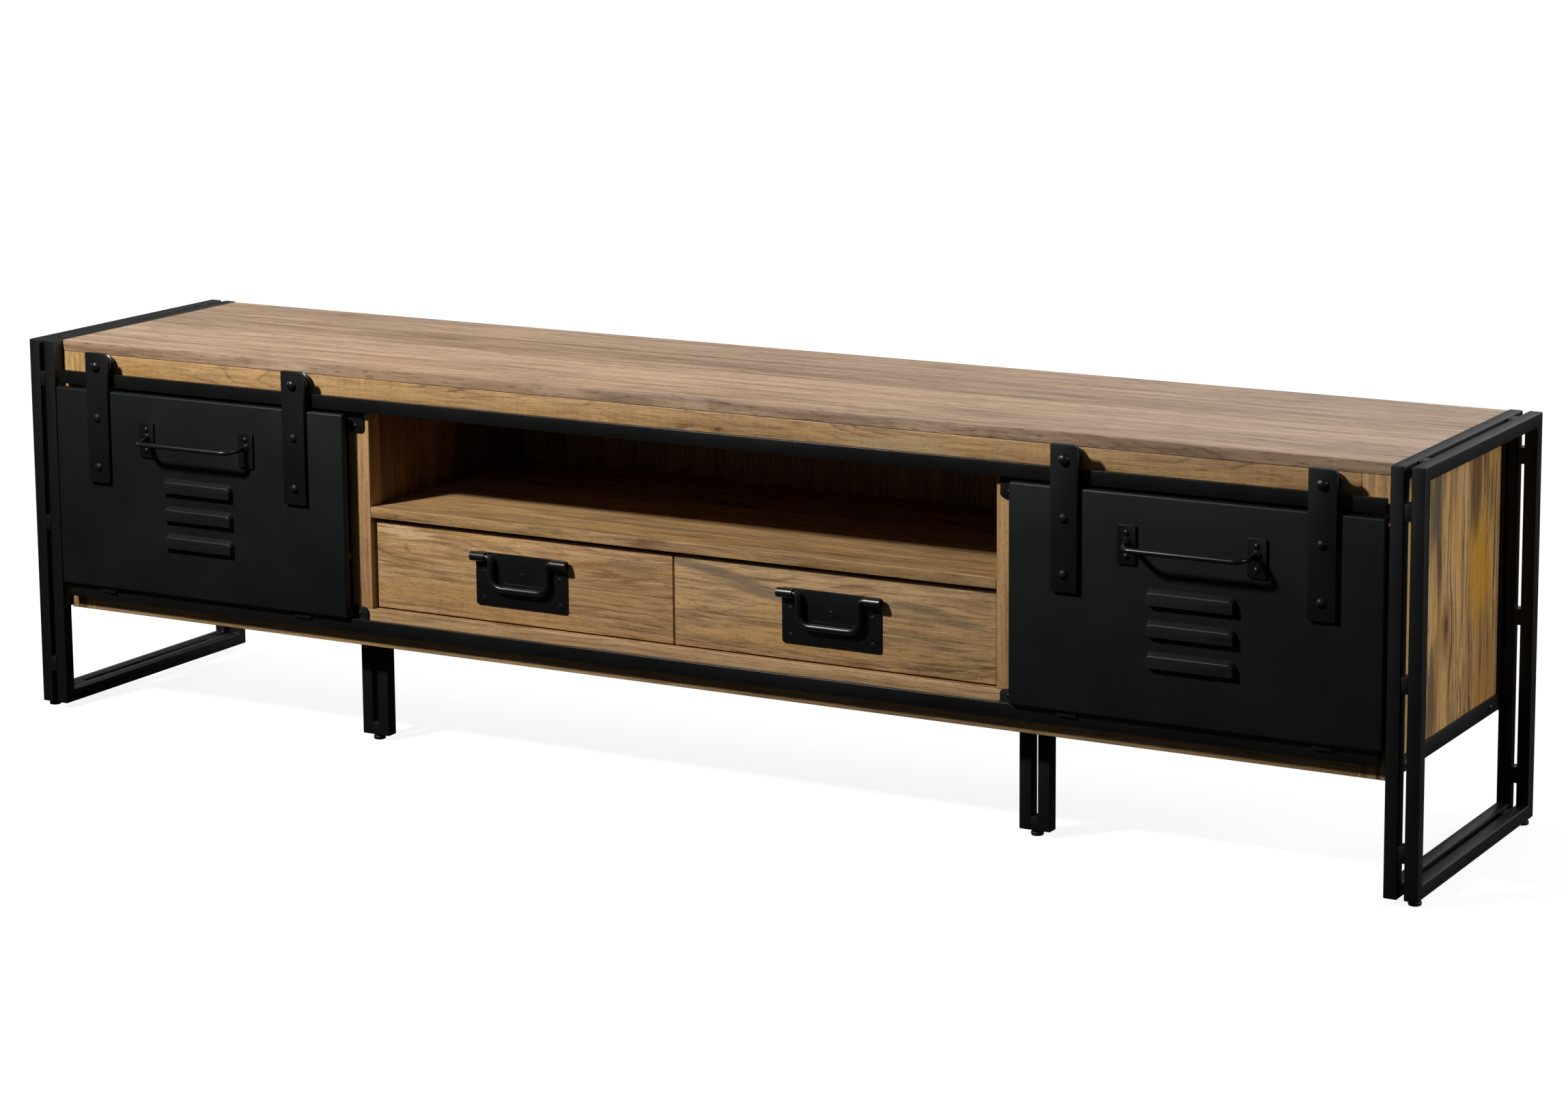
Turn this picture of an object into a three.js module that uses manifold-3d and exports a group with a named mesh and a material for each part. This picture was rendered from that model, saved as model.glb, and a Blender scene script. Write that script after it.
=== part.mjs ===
// A long, low sideboard: a mango-wood body between two welded steel end frames, with two hanging
// sliding steel doors, an open niche and two drawers. Millimetres, +Z up, floor at z = 0.
import * as THREE from 'three';
import { mergeVertices } from 'three/addons/utils/BufferGeometryUtils.js';
import Module from 'manifold-3d';

const wasm = await Module();
wasm.setup();

// Overall size. Depth is that of the end frames; the door handles stand out in front of them.
const WIDTH = 2000;
const DEPTH = 400;
const HEIGHT = 511;
const HANDLE_REACH = 40;

// End frames: two hoops of square tube side by side, joined across a slot by short bridges.
const TUBE = 17;
const SLOT = 8;
const FLOOR_GAP = 7;
const BRIDGE = 20;
const POST_BRIDGES = [61, 259, 458];
const RAIL_BRIDGES = [51.5, 348.5];
const CROSSBAR = { low: 143, high: 163, thick: 3 };

// Wooden body.
const TOUCH = 0.3;
const BODY_HALF = WIDTH / 2 - 2 * TUBE - SLOT - 0.5;
const BODY_FRONT = 19;
const BODY_BACK = 397;
const BODY_LOW = 140;
const BODY_TOP = 510;
const TOP_THICK = 15;
const APRON_LOW = 450;
const RAIL_TOP = 190;
const STILE_DEEP = 25;
const SIDE_STILE = 40;
const DIVIDER_STILE = 32;
const PANEL = 20;
const NICHE_HALF = 455.5;
const SHELF = { low: 312, high: 326 };
const PARTITION = 16;
const BACK_FACE = 386;
const BACK_THICK = 10;

// Sliding doors and the flat bars they run on.
const BAR = { front: 5, back: 11, high: 18 };
const TRACK = { half: 952.5, low: 453 };
const GUIDE = { half: 949, low: 159.5 };
const BRACKET = { near: 6, far: 30, low: 425, high: 192, plate: 3, corner: 6 };
const DOOR = { inner: 481.5, outer: 955, low: 178.5, high: 449.5, front: -3, deep: 12, sheet: 1.2 };
const DOOR_MID = (DOOR.inner + DOOR.outer) / 2;
const HANGER = { offset: 162, wide: 35, low: 324.5, high: 501.5, thick: 5, clip: 5 };
const WHEEL = { tread: 12, flange: 15, front: 2, back: 14, groove: 7 };
const AXLE_HEIGHT = TRACK.low + BAR.high + WHEEL.tread + TOUCH;
const AXLE = 4;
const LOUVRE = { wide: 114, high: 19.5, out: 7.5, slope: 5, tops: [340.5, 303, 265.5] };
const LUG = { wide: 26, drop: 8, thick: 3.2 };
const GRIP = { spread: 164, plateWide: 24, plateHigh: 47, plate: 2.5, height: 389, rod: 3.5, bend: 12 };

// Drawers and their drop-bail pulls.
const FRONT = { face: 27, thick: 18, low: 192, high: 307, inner: 1.2, outer: 451.5 };
const BOX = { inner: 11, outer: 450, side: 12, back: 365, low: 190.5, high: 293, floor: 6, raise: 7 };
const PULL = { wide: 139, high: 70, thick: 1.7, low: 213, corner: 4 };
const BARREL = { radius: 6.3, long: 23, overhang: 3, height: 277.5, bore: 4.8 };
const BAIL = { rod: 4.5, half: 42.5, drop: 40, upperBend: 7, lowerBend: 15 };

// Legs under the middle and the levelling feet.
const LEG = { middle: 486, front: 61.5, top: 169.7, slotLow: 24.5 };
const FOOT = { disc: 8, neck: 4, thick: 5, inset: 15 };

const steel = (name) => new THREE.MeshStandardMaterial({
  name, color: 0x1c1c1d, roughness: 0.55, metalness: 0.6,
});
const wood = (name, color) => new THREE.MeshStandardMaterial({
  name, color, roughness: 0.6, metalness: 0,
});
const materials = {
  coated: steel('powder_coated_steel'),
  bare: new THREE.MeshStandardMaterial({ color: 0x2a2a2b, roughness: 0.4, metalness: 0.9 }),
  mango: wood('mango_wood', 0xb58a58),
  inside: wood('inside_wood', 0xa77c4e),
  plastic: new THREE.MeshStandardMaterial({ color: 0x141414, roughness: 0.7, metalness: 0 }),
};

const cabinet = new THREE.Group();
cabinet.position.y = -(DEPTH - HANDLE_REACH) / 2;

function add(name, geometry, material) {
  const mesh = new THREE.Mesh(geometry, material);
  mesh.name = name;
  cabinet.add(mesh);
}

// Sides are -1 on the left and +1 on the right.
const SIDES = [['left', -1], ['right', 1]];

// A box between two distances from the middle, on one side of it.
function sideBlock(side, from, to, y, z) {
  return block(side < 0 ? [-to, -from] : [from, to], y, z);
}

function block([x0, x1], [y0, y1], [z0, z1]) {
  const geometry = new THREE.BoxGeometry(x1 - x0, y1 - y0, z1 - z0);
  return geometry.translate((x0 + x1) / 2, (y0 + y1) / 2, (z0 + z1) / 2);
}

function toSolid(geometry) {
  const bare = geometry.clone();
  bare.deleteAttribute('normal');
  bare.deleteAttribute('uv');
  const merged = mergeVertices(bare, 1e-4);
  return new wasm.Manifold(new wasm.Mesh({
    numProp: 3,
    vertProperties: new Float32Array(merged.attributes.position.array),
    triVerts: new Uint32Array(merged.index.array),
  }));
}

function toGeometry(manifold) {
  const mesh = manifold.getMesh();
  const geometry = new THREE.BufferGeometry();
  geometry.setAttribute('position', new THREE.BufferAttribute(mesh.vertProperties, 3));
  geometry.setIndex(new THREE.BufferAttribute(mesh.triVerts, 1));
  return geometry;
}

function join(...geometries) {
  return toGeometry(geometries.map(toSolid).reduce((whole, next) => whole.add(next)));
}

function cut(geometry, ...tools) {
  return toGeometry(tools.map(toSolid).reduce((whole, tool) => whole.subtract(tool), toSolid(geometry)));
}

// A rectangle with one radius per corner, listed from the low left corner anticlockwise.
function roundedRectangle(u0, u1, v0, v1, radii, outline = new THREE.Shape()) {
  const [a, b, c, d] = radii;
  outline.moveTo(u0 + a, v0);
  outline.lineTo(u1 - b, v0);
  outline.absarc(u1 - b, v0 + b, b, -Math.PI / 2, 0);
  outline.lineTo(u1, v1 - c);
  outline.absarc(u1 - c, v1 - c, c, 0, Math.PI / 2);
  outline.lineTo(u0 + d, v1);
  outline.absarc(u0 + d, v1 - d, d, Math.PI / 2, Math.PI);
  outline.lineTo(u0, v0 + a);
  outline.absarc(u0 + a, v0 + a, a, Math.PI, Math.PI * 1.5);
  return outline;
}

// An outline drawn in (y, z) and extruded along X between two x values.
function extrudeAlongX(outline, x0, x1) {
  const geometry = new THREE.ExtrudeGeometry(outline, {
    depth: x1 - x0, bevelEnabled: false, curveSegments: 3,
  });
  const turn = new THREE.Matrix4().makeBasis(
    new THREE.Vector3(0, 1, 0), new THREE.Vector3(0, 0, 1), new THREE.Vector3(1, 0, 0),
  );
  return geometry.applyMatrix4(turn).translate(x0, 0, 0);
}

// An outline drawn in (x, z) and extruded from y1 forward to y0.
function extrudeForward(outline, y0, y1, curveSegments = 3) {
  const geometry = new THREE.ExtrudeGeometry(outline, {
    depth: y1 - y0, bevelEnabled: false, curveSegments,
  });
  const turn = new THREE.Matrix4().makeBasis(
    new THREE.Vector3(1, 0, 0), new THREE.Vector3(0, 0, 1), new THREE.Vector3(0, -1, 0),
  );
  return geometry.applyMatrix4(turn).translate(0, y1, 0);
}

// A round section carried along straight runs, with one bend for each corner between them.
function bentRod(corners, bends, radius, steps) {
  const path = new THREE.CurvePath();
  const points = corners.map((corner) => new THREE.Vector3(...corner));
  let start = points[0];
  for (let i = 1; i < points.length - 1; i += 1) {
    const bend = bends[i - 1];
    const before = points[i].clone().sub(points[i - 1]).setLength(bend);
    const after = points[i + 1].clone().sub(points[i]).setLength(bend);
    const enter = points[i].clone().sub(before);
    const leave = points[i].clone().add(after);
    path.add(new THREE.LineCurve3(start, enter));
    path.add(new THREE.QuadraticBezierCurve3(enter, points[i], leave));
    start = leave;
  }
  path.add(new THREE.LineCurve3(start, points[points.length - 1]));
  const section = new THREE.Shape().absarc(0, 0, radius, 0, Math.PI * 2);
  return new THREE.ExtrudeGeometry(section, {
    steps, extrudePath: path, bevelEnabled: false, curveSegments: 6,
  });
}

// A turned shape about a line along Y; each point is [radius, y].
function turnedAlongY(profile, segments) {
  return new THREE.LatheGeometry(profile.map((point) => new THREE.Vector2(...point)), segments);
}

// End frames: the outer hoop carries the bridges, the inner one the crossbar under the side panel.
function hoop(x0, x1) {
  const low = FLOOR_GAP;
  const outline = roundedRectangle(0, DEPTH, low, HEIGHT, [3, 3, 3, 3]);
  const opening = roundedRectangle(
    TUBE, DEPTH - TUBE, low + TUBE, HEIGHT - TUBE, [3, 3, 3, 3], new THREE.Path(),
  );
  outline.holes.push(opening);
  return extrudeAlongX(outline, x0, x1);
}

function sideHoop(side, from, to) {
  return side < 0 ? hoop(-to, -from) : hoop(from, to);
}

function addEndFrame(word, side) {
  const outer = WIDTH / 2;
  const slotOut = outer - TUBE;
  const slotIn = slotOut - SLOT;
  const bridges = [];
  for (const z of POST_BRIDGES) {
    for (const y of [[0, TUBE], [DEPTH - TUBE, DEPTH]]) {
      const span = [z - BRIDGE / 2, z + BRIDGE / 2];
      bridges.push(sideBlock(side, slotIn + TOUCH, slotOut + 1, y, span));
    }
  }
  for (const y of RAIL_BRIDGES) {
    for (const z of [[FLOOR_GAP, FLOOR_GAP + TUBE], [HEIGHT - TUBE, HEIGHT]]) {
      const span = [y - BRIDGE / 2, y + BRIDGE / 2];
      bridges.push(sideBlock(side, slotIn + TOUCH, slotOut + 1, span, z));
    }
  }
  add(`${word}_outer_hoop`, join(sideHoop(side, slotOut, outer), ...bridges), materials.coated);

  const inside = slotIn - TUBE;
  const crossbar = sideBlock(
    side, inside, inside + CROSSBAR.thick, [TUBE - 1, DEPTH - TUBE + 1], [CROSSBAR.low, CROSSBAR.high],
  );
  add(`${word}_inner_hoop`, join(sideHoop(side, inside, slotIn), crossbar), materials.coated);
}

function addFoot(name, x, y) {
  const { disc, neck, thick } = FOOT;
  const top = FLOOR_GAP - TOUCH;
  const profile = [
    [0, 0], [disc - 1, 0], [disc, 1], [disc, thick], [neck, thick], [neck, top], [0, top],
  ];
  const foot = turnedAlongY(profile, 16);
  add(name, foot.rotateX(Math.PI / 2).translate(x, y, 0), materials.plastic);
}

// Middle legs: two tubes with a slot between them, closed at the bottom, under a screw plate.
function addMiddleLeg(word, side) {
  const half = TUBE + SLOT / 2;
  const x = side * LEG.middle;
  const back = LEG.front + TUBE;
  const post = roundedRectangle(x - half, x + half, FLOOR_GAP, LEG.top - 1, [2, 2, 0.5, 0.5]);
  const slot = block([x - SLOT / 2, x + SLOT / 2], [LEG.front - 1, back + 1], [LEG.slotLow, LEG.top - 3]);
  const plate = block([x - 45, x + 45], [LEG.front - 12, back + 30], [LEG.top - 3, LEG.top]);
  const leg = cut(extrudeForward(post, LEG.front, back), slot);
  add(`${word}_middle_leg`, join(leg, plate), materials.coated);
  addFoot(`${word}_middle_foot`, x, LEG.front + TUBE / 2);
}

// Wooden body: the front edges of the upright panels carry wider stiles.
function uprightPanel(side, panel, stile, panelLow, stileLow, panelHigh, stileHigh, back) {
  return join(
    sideBlock(side, ...panel, [BODY_FRONT + STILE_DEEP + TOUCH, back], [panelLow, panelHigh]),
    sideBlock(side, ...stile, [BODY_FRONT, BODY_FRONT + STILE_DEEP + 2 * TOUCH], [stileLow, stileHigh]),
  );
}

function addBody() {
  const under = BODY_TOP - TOP_THICK - TOUCH;
  const behindStile = BODY_FRONT + STILE_DEEP + 3 * TOUCH;
  const betweenSides = BODY_HALF - SIDE_STILE - TOUCH;
  const betweenPanels = BODY_HALF - PANEL - TOUCH;
  const panelBack = BACK_FACE - TOUCH;
  const frontEdge = [BODY_FRONT, BODY_FRONT + STILE_DEEP];

  const stileWidth = [-betweenSides, betweenSides];
  const panelWidth = [-betweenPanels, betweenPanels];
  const top = block([-BODY_HALF, BODY_HALF], [BODY_FRONT, BODY_BACK], [BODY_TOP - TOP_THICK, BODY_TOP]);
  add('top_board', top, materials.mango);
  add('top_apron', block(stileWidth, frontEdge, [APRON_LOW, under]), materials.mango);
  add('bottom_front_rail', block(stileWidth, frontEdge, [BODY_LOW, RAIL_TOP]), materials.mango);
  const floor = block(panelWidth, [behindStile, panelBack], [RAIL_TOP - PANEL, RAIL_TOP]);
  add('bottom_board', floor, materials.inside);
  const backBoard = block(panelWidth, [BACK_FACE, BACK_FACE + BACK_THICK], [BODY_LOW, under]);
  add('back_panel', backBoard, materials.inside);

  for (const [word, side] of SIDES) {
    const sidePanel = uprightPanel(
      side, [BODY_HALF - PANEL, BODY_HALF], [BODY_HALF - SIDE_STILE, BODY_HALF],
      BODY_LOW, BODY_LOW, under, under, BODY_BACK,
    );
    add(`${word}_side_panel`, sidePanel, materials.mango);
    const divider = uprightPanel(
      side, [NICHE_HALF, NICHE_HALF + PANEL], [NICHE_HALF, NICHE_HALF + DIVIDER_STILE],
      RAIL_TOP + TOUCH, RAIL_TOP + TOUCH, under, APRON_LOW - TOUCH, panelBack,
    );
    add(`${word}_divider`, divider, materials.mango);
  }

  const nicheWidth = [-NICHE_HALF + TOUCH, NICHE_HALF - TOUCH];
  add('niche_shelf', block(nicheWidth, [BODY_FRONT, panelBack], [SHELF.low, SHELF.high]), materials.mango);
  const partition = block(
    [-PARTITION / 2, PARTITION / 2], [FRONT.face + FRONT.thick + 1, panelBack],
    [RAIL_TOP + TOUCH, SHELF.low - TOUCH],
  );
  add('drawer_partition', partition, materials.inside);
}

// Flat bars on edge, each with a stand-off lug welded behind both ends.
function flatBar({ half, low }, lugHigh) {
  const lugs = SIDES.map(([, side]) => sideBlock(
    side, BODY_HALF - SIDE_STILE + 1, BODY_HALF - SIDE_STILE + 25, [BAR.back - 1, BODY_FRONT - TOUCH],
    [low, lugHigh],
  ));
  return join(block([-half, half], [BAR.front, BAR.back], [low, low + BAR.high]), ...lugs);
}

// A bracket on a divider's front edge: a screwed plate with a stand-off behind the bar.
function bracket(side, low, high, standoff, round) {
  const [near, far] = [NICHE_HALF + BRACKET.near, NICHE_HALF + BRACKET.far];
  const [x0, x1] = side < 0 ? [-far, -near] : [near, far];
  const radii = [0.5, 0.5, 0.5, 0.5];
  for (const corner of round) radii[corner] = BRACKET.corner;
  const plateFace = BODY_FRONT - TOUCH - BRACKET.plate;
  const plate = extrudeForward(roundedRectangle(x0, x1, low, high, radii), plateFace, BODY_FRONT - TOUCH);
  return join(plate, block([x0, x1], [BAR.back + TOUCH, plateFace + 1], standoff));
}

function addBars() {
  const lugTop = TRACK.low + 13;
  const guideTop = GUIDE.low + BAR.high;
  add('top_track', flatBar(TRACK, lugTop), materials.coated);
  add('bottom_guide_rail', flatBar(GUIDE, guideTop), materials.coated);
  for (const [word, side] of SIDES) {
    const hung = bracket(side, BRACKET.low, lugTop, [TRACK.low, lugTop], [0, 1]);
    add(`${word}_track_bracket`, hung, materials.coated);
    const standing = bracket(side, GUIDE.low, BRACKET.high, [GUIDE.low, guideTop], [2, 3]);
    add(`${word}_guide_bracket`, standing, materials.coated);
  }
}

// A louvre hood: sloping top, upright face, open below. It is drawn in (y, z).
function hood(x0, x1, top, inset) {
  const outline = new THREE.Shape();
  const face = DOOR.front - LOUVRE.out + inset;
  const bottom = top - LOUVRE.high - (inset ? 1 : 0);
  outline.moveTo(DOOR.front + DOOR.sheet + inset, top - inset * 1.6);
  outline.lineTo(DOOR.front, top - inset * 1.6);
  outline.lineTo(face, top - LOUVRE.slope - inset * 0.6);
  outline.lineTo(face, bottom);
  outline.lineTo(DOOR.front + DOOR.sheet + inset, bottom);
  return extrudeAlongX(outline, x0 + inset, x1 - inset);
}

// A folded sheet-steel door panel with three louvres, and lugs that ride in front of the guide rail.
function doorPanel(middle) {
  const half = (DOOR.outer - DOOR.inner) / 2;
  const { sheet, front, deep, low, high } = DOOR;
  const tray = cut(
    block([middle - half, middle + half], [front, front + deep], [low, high]),
    block([middle - half + sheet, middle + half - sheet], [front + sheet, front + deep + 1],
      [low + sheet, high - sheet]),
  );
  const ends = [middle - LOUVRE.wide / 2, middle + LOUVRE.wide / 2];
  const pressed = join(tray, ...LOUVRE.tops.map((top) => hood(...ends, top, 0)));
  const open = cut(pressed, ...LOUVRE.tops.map((top) => hood(...ends, top, sheet)));
  const lugs = [-1, 1].map((side) => block(
    [middle + side * HANGER.offset - LUG.wide / 2, middle + side * HANGER.offset + LUG.wide / 2],
    [BAR.front - 0.5 - LUG.thick, BAR.front - 0.5], [low - LUG.drop, low + sheet],
  ));
  return join(open, ...lugs);
}

function addHanger(name, x) {
  const half = HANGER.wide / 2;
  const back = DOOR.front - TOUCH;
  const outline = new THREE.Shape();
  outline.moveTo(x - half, HANGER.low);
  outline.lineTo(x + half, HANGER.low);
  outline.lineTo(x + half, HANGER.high - HANGER.clip);
  outline.lineTo(x + half - HANGER.clip, HANGER.high);
  outline.lineTo(x - half, HANGER.high);
  outline.holes.push(new THREE.Path().absarc(x, AXLE_HEIGHT, AXLE + 0.5, 0, Math.PI * 2));
  add(`${name}_strap`, extrudeForward(outline, back - HANGER.thick, back, 8), materials.coated);

  const { tread, flange, front, back: rear, groove } = WHEEL;
  const lip = (rear - front - groove) / 2;
  const bore = AXLE + 0.25;
  const profile = [
    [bore, front], [flange, front], [flange, front + lip], [tread, front + lip],
    [tread, rear - lip], [flange, rear - lip], [flange, rear], [bore, rear], [bore, front],
  ];
  add(`${name}_wheel`, turnedAlongY(profile, 28).translate(x, 0, AXLE_HEIGHT), materials.bare);

  const face = back - HANGER.thick - TOUCH;
  const bolt = [
    [0, face - 5], [4, face - 4.4], [7, face - 1.5], [7, face], [AXLE, face], [AXLE, back + TOUCH],
    [6, back + TOUCH], [6, front - TOUCH], [AXLE, front - TOUCH], [AXLE, rear + TOUCH],
    [6.5, rear + TOUCH], [6.5, rear + 3], [0, rear + 3],
  ];
  add(`${name}_axle_bolt`, turnedAlongY(bolt, 16).translate(x, 0, AXLE_HEIGHT), materials.coated);
}

// A D-handle: a bent rod welded to two small plates that lie on the door.
function doorHandle(middle) {
  const { spread, plateWide, plateHigh, plate, height, rod, bend } = GRIP;
  const face = DOOR.front - TOUCH;
  const reach = -HANDLE_REACH + rod;
  const ends = [-1, 1].map((side) => {
    const x = middle + side * spread / 2;
    const outline = roundedRectangle(
      x - plateWide / 2, x + plateWide / 2, height - plateHigh / 2, height + plateHigh / 2, [2, 2, 2, 2],
    );
    return extrudeForward(outline, face - plate, face);
  });
  const root = height + 4;
  const bar = bentRod([
    [middle - spread / 2, face - 1, root], [middle - spread / 2 + 8, reach, height + 1],
    [middle + spread / 2 - 8, reach, height + 1], [middle + spread / 2, face - 1, root],
  ], [bend, bend], rod, 30);
  return join(...ends, bar);
}

function addDoors() {
  for (const [word, side] of SIDES) {
    const middle = side * DOOR_MID;
    add(`${word}_door_panel`, doorPanel(middle), materials.coated);
    add(`${word}_door_handle`, doorHandle(middle), materials.coated);
    addHanger(`${word}_outer`, middle + side * HANGER.offset);
    addHanger(`${word}_inner`, middle - side * HANGER.offset);
  }
}

// A pull: a backplate with two bored barrels, and a drop bail whose ends turn in them.
function pullPlate(middle) {
  const half = PULL.wide / 2;
  const back = FRONT.face - TOUCH;
  const radii = [PULL.corner, PULL.corner, PULL.corner, PULL.corner];
  const outline = roundedRectangle(middle - half, middle + half, PULL.low, PULL.low + PULL.high, radii);
  const plate = extrudeForward(outline, back - PULL.thick, back);
  const axis = back - PULL.thick - BARREL.radius + 0.3;
  const barrels = [-1, 1].map((side) => {
    const start = middle + side * (half + BARREL.overhang - BARREL.long / 2);
    const barrel = new THREE.CylinderGeometry(BARREL.radius, BARREL.radius, BARREL.long, 20);
    return barrel.rotateZ(Math.PI / 2).rotateX(Math.PI / 20).translate(start, axis, BARREL.height);
  });
  const bore = new THREE.CylinderGeometry(BARREL.bore, BARREL.bore, PULL.wide + 40, 16).rotateZ(Math.PI / 2);
  return cut(join(plate, ...barrels), bore.translate(middle, axis, BARREL.height));
}

function bail(middle) {
  const axis = FRONT.face - TOUCH - PULL.thick - BARREL.radius + 0.3;
  const end = PULL.wide / 2 + BARREL.overhang - 1;
  const { half, drop, upperBend, lowerBend, rod } = BAIL;
  const low = BARREL.height - drop;
  return bentRod([
    [middle - end, axis, BARREL.height], [middle - half, axis, BARREL.height],
    [middle - half, axis, low], [middle + half, axis, low],
    [middle + half, axis, BARREL.height], [middle + end, axis, BARREL.height],
  ], [upperBend, lowerBend, lowerBend, upperBend], rod, 44);
}

function addDrawers() {
  for (const [word, side] of SIDES) {
    const { face, thick, low, high } = FRONT;
    const boxFront = face + thick + TOUCH;
    const backFace = BOX.back - BOX.side;
    const [inside, outside] = [BOX.inner + BOX.side + TOUCH, BOX.outer - BOX.side - TOUCH];
    const walls = [BOX.low, BOX.high];
    const floorLow = BOX.low + BOX.raise;
    const front = sideBlock(side, FRONT.inner, FRONT.outer, [face, face + thick], [low, high]);
    const innerSide = sideBlock(side, BOX.inner, BOX.inner + BOX.side, [boxFront, BOX.back], walls);
    const outerSide = sideBlock(side, BOX.outer - BOX.side, BOX.outer, [boxFront, BOX.back], walls);
    const rear = sideBlock(side, inside, outside, [backFace, BOX.back], walls);
    const floor = sideBlock(
      side, inside, outside, [boxFront, backFace - TOUCH], [floorLow, floorLow + BOX.floor],
    );
    add(`${word}_drawer_front`, front, materials.mango);
    add(`${word}_drawer_inner_side`, innerSide, materials.inside);
    add(`${word}_drawer_outer_side`, outerSide, materials.inside);
    add(`${word}_drawer_back`, rear, materials.inside);
    add(`${word}_drawer_bottom`, floor, materials.inside);
    const middle = side * (FRONT.inner + FRONT.outer) / 2;
    add(`${word}_pull_plate`, pullPlate(middle), materials.coated);
    add(`${word}_bail`, bail(middle), materials.coated);
  }
}

for (const [word, side] of SIDES) {
  addEndFrame(word, side);
  const footX = side * (WIDTH / 2 - TUBE / 2);
  addFoot(`${word}_front_foot`, footX, FOOT.inset);
  addFoot(`${word}_back_foot`, footX, DEPTH - FOOT.inset);
  addMiddleLeg(word, side);
}
addBody();
addBars();
addDoors();
addDrawers();

export default cabinet;
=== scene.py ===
import math

import bmesh
import bpy
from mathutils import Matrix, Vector


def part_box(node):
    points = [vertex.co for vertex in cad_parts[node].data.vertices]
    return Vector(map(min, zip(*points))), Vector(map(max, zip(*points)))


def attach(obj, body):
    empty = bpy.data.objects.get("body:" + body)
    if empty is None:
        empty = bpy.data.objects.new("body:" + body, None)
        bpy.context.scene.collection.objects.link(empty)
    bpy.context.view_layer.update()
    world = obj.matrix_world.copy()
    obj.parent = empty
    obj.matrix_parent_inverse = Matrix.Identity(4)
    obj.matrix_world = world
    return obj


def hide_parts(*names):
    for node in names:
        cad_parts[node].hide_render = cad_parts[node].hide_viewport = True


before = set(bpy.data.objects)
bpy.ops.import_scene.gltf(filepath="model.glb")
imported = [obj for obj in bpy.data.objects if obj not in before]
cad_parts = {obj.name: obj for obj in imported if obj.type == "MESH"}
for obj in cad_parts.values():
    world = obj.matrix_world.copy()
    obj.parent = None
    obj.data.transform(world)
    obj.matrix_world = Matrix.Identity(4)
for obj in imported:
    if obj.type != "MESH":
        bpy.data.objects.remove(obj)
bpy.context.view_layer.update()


# --- End frames ---------------------------------------------------------------------------------
# Two hoops of square steel tube stand side by side at each end, welded to each other by short
# bridges across a narrow slot. The inner one has a flat crossbar that carries the side panel.
# Fine-textured black powder coat: nearly matt, with a faint orange peel.

SIDES = (("left", -1), ("right", 1))
TUBE = 0.017
TUBE_EDGE = 0.0016


def linear(code):
    """An sRGB hex colour as the linear colour that Blender's sockets take."""
    parts = [int(code[i:i + 2], 16) / 255 for i in (1, 3, 5)]
    return [c / 12.92 if c < 0.04045 else ((c + 0.055) / 1.055) ** 2.4 for c in parts] + [1.0]


def add_node(tree, kind, inputs=None, **settings):
    """Adds one shader node. An input is a value, or the node or socket that feeds it."""
    node = tree.nodes.new("ShaderNode" + kind)
    for key, value in settings.items():
        setattr(node, key, value)
    for key, value in (inputs or {}).items():
        if isinstance(value, bpy.types.Node):
            value = value.outputs[0]
        if isinstance(value, bpy.types.NodeSocket):
            tree.links.new(value, node.inputs[key])
        else:
            node.inputs[key].default_value = value
    return node


def coated_steel(name, code, roughness, grit_mm, depth_mm, gloss=0.3):
    """Steel under a baked or brushed coat: grit_mm is the size of its bumps, depth_mm their height."""
    finish = bpy.data.materials.new(name)
    finish.use_nodes = True
    tree = finish.node_tree
    tree.nodes.clear()
    place = add_node(tree, "TexCoord").outputs["Object"]
    peel = add_node(tree, "TexNoise", {"Vector": place, "Scale": 1000 / grit_mm, "Detail": 2.0})
    cloud = add_node(tree, "TexNoise", {"Vector": place, "Scale": 14.0, "Detail": 3.0})
    rough = add_node(tree, "MapRange", {
        0: cloud, 1: 0.3, 2: 0.7, 3: roughness - 0.04, 4: roughness + 0.05})
    dust = add_node(tree, "MixRGB", {0: cloud, 1: linear(code), 2: [c * 1.35 for c in linear(code)]})
    bump = add_node(tree, "Bump", {"Height": peel, "Strength": 0.6, "Distance": depth_mm / 1000})
    shader = add_node(tree, "BsdfPrincipled", {
        "Base Color": dust, "Roughness": rough, "Normal": bump, "Specular IOR Level": gloss})
    add_node(tree, "OutputMaterial", {"Surface": shader})
    return finish


def cut_block(name, low, high):
    """A square-edged block between two corners; its place is in its mesh."""
    low, high = Vector(low), Vector(high)
    bpy.ops.object.select_all(action="DESELECT")
    bpy.ops.mesh.primitive_cube_add(size=1, location=(low + high) / 2, scale=high - low)
    piece = bpy.context.object
    piece.name = piece.data.name = name
    bpy.ops.object.transform_apply(location=True, rotation=True, scale=True)
    return piece


def ease_edges(piece, width, segments=3, angle=40):
    """Rounds the edges that are sharper than an angle."""
    edge = piece.modifiers.new("eased_edges", "BEVEL")
    edge.width = width
    edge.segments = segments
    edge.angle_limit = math.radians(angle)
    bpy.context.view_layer.objects.active = piece
    bpy.ops.object.modifier_apply(modifier=edge.name)
    return piece


def eased_block(name, low, high, edge=TUBE_EDGE, segments=3):
    return ease_edges(cut_block(name, low, high), edge, segments)


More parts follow.
